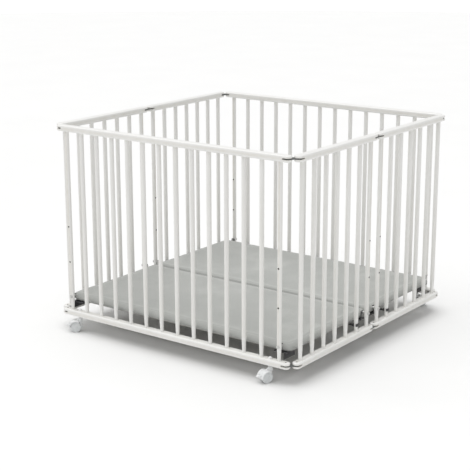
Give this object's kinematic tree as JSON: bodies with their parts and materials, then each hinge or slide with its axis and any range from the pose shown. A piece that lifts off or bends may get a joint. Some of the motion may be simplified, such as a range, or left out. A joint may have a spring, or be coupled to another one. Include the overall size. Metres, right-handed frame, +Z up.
{
  "type": "playpen",
  "caption": "Square barred playpen on castors with a two-part padded floor, whose side panels fold inwards at hinge links.",
  "frame": {"origin": "on the ground, under the middle of the pen", "axes": "+Z up, -Y the front panel, +X the right side panel"},
  "size_m": [1.012, 1.0572, 0.7335],
  "materials": {
    "white_lacquer": "white satin lacquer on beech",
    "pin_steel": "dark steel",
    "link_steel": "dark grey powder coat",
    "bolt_steel": "zinc plated",
    "clip_plastic": "black moulded",
    "stem_steel": "white coated",
    "castor_plastic": "white moulded",
    "wheel_plastic": "light grey moulded",
    "board": "coated board",
    "mat_fabric": "light grey woven cover",
    "bracket_black": "black powder coat"
  },
  "bodies": {
    "rear_panel": {"rear_top_rail": "white_lacquer", "rear_bottom_rail": "white_lacquer", "rear_bars": "white_lacquer", "rear_hinge_pins": "pin_steel", "rear_floor_bolts": "bolt_steel", "rear_castor_stems": "stem_steel"},
    "rear_left_link": {"rear_left_corner_link": "link_steel"},
    "left_rear_half": {"left_rear_top_rail": "white_lacquer", "left_rear_bottom_rail": "white_lacquer", "left_rear_bars": "white_lacquer", "left_rear_hinge_pins": "pin_steel", "left_rear_floor_bolts": "bolt_steel", "left_rear_floor_clip": "clip_plastic"},
    "left_middle_link": {"left_middle_link": "link_steel"},
    "left_front_half": {"left_front_top_rail": "white_lacquer", "left_front_bottom_rail": "white_lacquer", "left_front_bars": "white_lacquer", "left_front_hinge_pins": "pin_steel", "left_front_floor_bolts": "bolt_steel", "left_front_floor_clip": "clip_plastic"},
    "front_left_link": {"front_left_corner_link": "link_steel"},
    "rear_right_link": {"rear_right_corner_link": "link_steel"},
    "right_rear_half": {"right_rear_top_rail": "white_lacquer", "right_rear_bottom_rail": "white_lacquer", "right_rear_bars": "white_lacquer", "right_rear_hinge_pins": "pin_steel", "right_rear_floor_bolts": "bolt_steel", "right_rear_floor_clip": "clip_plastic"},
    "right_middle_link": {"right_middle_link": "link_steel"},
    "right_front_half": {"right_front_top_rail": "white_lacquer", "right_front_bottom_rail": "white_lacquer", "right_front_bars": "white_lacquer", "right_front_hinge_pins": "pin_steel", "right_front_floor_bolts": "bolt_steel", "right_front_floor_clip": "clip_plastic"},
    "front_right_link": {"front_right_corner_link": "link_steel"},
    "front_panel": {"front_top_rail": "white_lacquer", "front_bottom_rail": "white_lacquer", "front_bars": "white_lacquer", "front_hinge_pins": "pin_steel", "front_floor_bolts": "bolt_steel", "front_castor_stems": "stem_steel"},
    "front_left_castor": {"front_left_castor_hood": "castor_plastic"},
    "front_left_wheels": {"front_left_castor_wheels": "wheel_plastic"},
    "front_left_brake": {"front_left_brake_lever": "castor_plastic"},
    "front_right_castor": {"front_right_castor_hood": "castor_plastic"},
    "front_right_wheels": {"front_right_castor_wheels": "wheel_plastic"},
    "front_right_brake": {"front_right_brake_lever": "castor_plastic"},
    "rear_left_castor": {"rear_left_castor_hood": "castor_plastic"},
    "rear_left_wheels": {"rear_left_castor_wheels": "wheel_plastic"},
    "rear_left_brake": {"rear_left_brake_lever": "castor_plastic"},
    "rear_right_castor": {"rear_right_castor_hood": "castor_plastic"},
    "rear_right_wheels": {"rear_right_castor_wheels": "wheel_plastic"},
    "rear_right_brake": {"rear_right_brake_lever": "castor_plastic"},
    "floor_rear_half": {"rear_floor_board": "board", "rear_mat": "mat_fabric", "rear_floor_brackets": "bracket_black"},
    "floor_front_half": {"front_floor_board": "board", "front_mat": "mat_fabric", "front_floor_brackets": "bracket_black"}
  },
  "joints": [
    {"name": "frame_fold", "type": "hinge", "parent": "rear_panel", "child": "rear_left_link", "pos_m": [-0.4675, 0.48, 0.4], "axis": [0, 0, 1], "range_deg": [0, 45], "deforming": ["rear_floor_board", "rear_mat", "rear_floor_brackets", "front_floor_board", "front_mat", "front_floor_brackets"]},
    {"name": "left_rear_half_turn", "type": "hinge", "parent": "rear_left_link", "child": "left_rear_half", "pos_m": [-0.492, 0.4555, 0.4], "axis": [0, 0, 1], "range_deg": [0, 45]},
    {"name": "left_middle_link_turn", "type": "hinge", "parent": "left_rear_half", "child": "left_middle_link", "pos_m": [-0.492, 0.01732, 0.4], "axis": [0, 0, 1], "range_deg": [-90, 0]},
    {"name": "left_front_half_turn", "type": "hinge", "parent": "left_middle_link", "child": "left_front_half", "pos_m": [-0.492, -0.01732, 0.4], "axis": [0, 0, 1], "range_deg": [-90, 0]},
    {"name": "front_left_link_turn", "type": "hinge", "parent": "left_front_half", "child": "front_left_link", "pos_m": [-0.492, -0.4555, 0.4], "axis": [0, 0, 1], "range_deg": [0, 45]},
    {"name": "front_panel_turn", "type": "hinge", "parent": "front_left_link", "child": "front_panel", "pos_m": [-0.4675, -0.48, 0.4], "axis": [0, 0, 1], "range_deg": [0, 45]},
    {"name": "rear_right_link_turn", "type": "hinge", "parent": "rear_panel", "child": "rear_right_link", "pos_m": [0.4675, 0.48, 0.4], "axis": [0, 0, 1], "range_deg": [-45, 0]},
    {"name": "right_rear_half_turn", "type": "hinge", "parent": "rear_right_link", "child": "right_rear_half", "pos_m": [0.492, 0.4555, 0.4], "axis": [0, 0, 1], "range_deg": [-45, 0]},
    {"name": "right_middle_link_turn", "type": "hinge", "parent": "right_rear_half", "child": "right_middle_link", "pos_m": [0.492, 0.01732, 0.4], "axis": [0, 0, 1], "range_deg": [0, 90]},
    {"name": "right_front_half_turn", "type": "hinge", "parent": "right_middle_link", "child": "right_front_half", "pos_m": [0.492, -0.01732, 0.4], "axis": [0, 0, 1], "range_deg": [0, 90]},
    {"name": "front_right_link_turn", "type": "hinge", "parent": "right_front_half", "child": "front_right_link", "pos_m": [0.492, -0.4555, 0.4], "axis": [0, 0, 1], "range_deg": [-45, 0]},
    {"name": "front_left_castor_swivel", "type": "hinge", "parent": "front_panel", "child": "front_left_castor", "pos_m": [-0.408, -0.48, 0.045], "axis": [0, 0, 1], "continuous": true},
    {"name": "front_left_wheel_spin", "type": "hinge", "parent": "front_left_castor", "child": "front_left_wheels", "pos_m": [-0.42086, -0.48952, 0.0185], "axis": [-0.5948, 0.8039, 0], "continuous": true},
    {"name": "front_left_brake_press", "type": "hinge", "parent": "front_left_castor", "child": "front_left_brake", "pos_m": [-0.44136, -0.50469, 0.026], "axis": [0.5948, -0.8039, 0], "range_deg": [0, 20]},
    {"name": "front_right_castor_swivel", "type": "hinge", "parent": "front_panel", "child": "front_right_castor", "pos_m": [0.408, -0.48, 0.045], "axis": [0, 0, 1], "continuous": true},
    {"name": "front_right_wheel_spin", "type": "hinge", "parent": "front_right_castor", "child": "front_right_wheels", "pos_m": [0.40188, -0.49478, 0.0185], "axis": [-0.9239, 0.3827, 0], "continuous": true},
    {"name": "front_right_brake_press", "type": "hinge", "parent": "front_right_castor", "child": "front_right_brake", "pos_m": [0.39212, -0.51834, 0.026], "axis": [0.9239, -0.3827, 0], "range_deg": [0, 20]},
    {"name": "rear_left_castor_swivel", "type": "hinge", "parent": "rear_panel", "child": "rear_left_castor", "pos_m": [-0.408, 0.48, 0.045], "axis": [0, 0, 1], "continuous": true},
    {"name": "rear_left_wheel_spin", "type": "hinge", "parent": "rear_left_castor", "child": "rear_left_wheels", "pos_m": [-0.40188, 0.49478, 0.0185], "axis": [0.9239, -0.3827, 0], "continuous": true},
    {"name": "rear_left_brake_press", "type": "hinge", "parent": "rear_left_castor", "child": "rear_left_brake", "pos_m": [-0.39212, 0.51834, 0.026], "axis": [-0.9239, 0.3827, 0], "range_deg": [0, 20]},
    {"name": "rear_right_castor_swivel", "type": "hinge", "parent": "rear_panel", "child": "rear_right_castor", "pos_m": [0.408, 0.48, 0.045], "axis": [0, 0, 1], "continuous": true},
    {"name": "rear_right_wheel_spin", "type": "hinge", "parent": "rear_right_castor", "child": "rear_right_wheels", "pos_m": [0.42086, 0.48952, 0.0185], "axis": [0.5948, -0.8039, 0], "continuous": true},
    {"name": "rear_right_brake_press", "type": "hinge", "parent": "rear_right_castor", "child": "rear_right_brake", "pos_m": [0.44136, 0.50469, 0.026], "axis": [-0.5948, 0.8039, 0], "range_deg": [0, 20]},
    {"name": "floor_lift", "type": "slide", "parent": "rear_panel", "child": "floor_rear_half", "axis": [0, 0, -1], "range_m": [-0.75, 0]},
    {"name": "floor_seam_fold", "type": "hinge", "parent": "floor_rear_half", "child": "floor_front_half", "pos_m": [0, 0, 0.1315], "axis": [1, 0, 0], "range_deg": [-180, 0]}
  ],
  "couplings": [
    {"joint": "left_rear_half_turn", "follows": "frame_fold", "ratio": 1},
    {"joint": "left_middle_link_turn", "follows": "frame_fold", "ratio": -2},
    {"joint": "left_front_half_turn", "follows": "frame_fold", "ratio": -2},
    {"joint": "front_left_link_turn", "follows": "frame_fold", "ratio": 1},
    {"joint": "front_panel_turn", "follows": "frame_fold", "ratio": 1},
    {"joint": "rear_right_link_turn", "follows": "frame_fold", "ratio": -1},
    {"joint": "right_rear_half_turn", "follows": "frame_fold", "ratio": -1},
    {"joint": "right_middle_link_turn", "follows": "frame_fold", "ratio": 2},
    {"joint": "right_front_half_turn", "follows": "frame_fold", "ratio": 2},
    {"joint": "front_right_link_turn", "follows": "frame_fold", "ratio": -1}
  ]
}
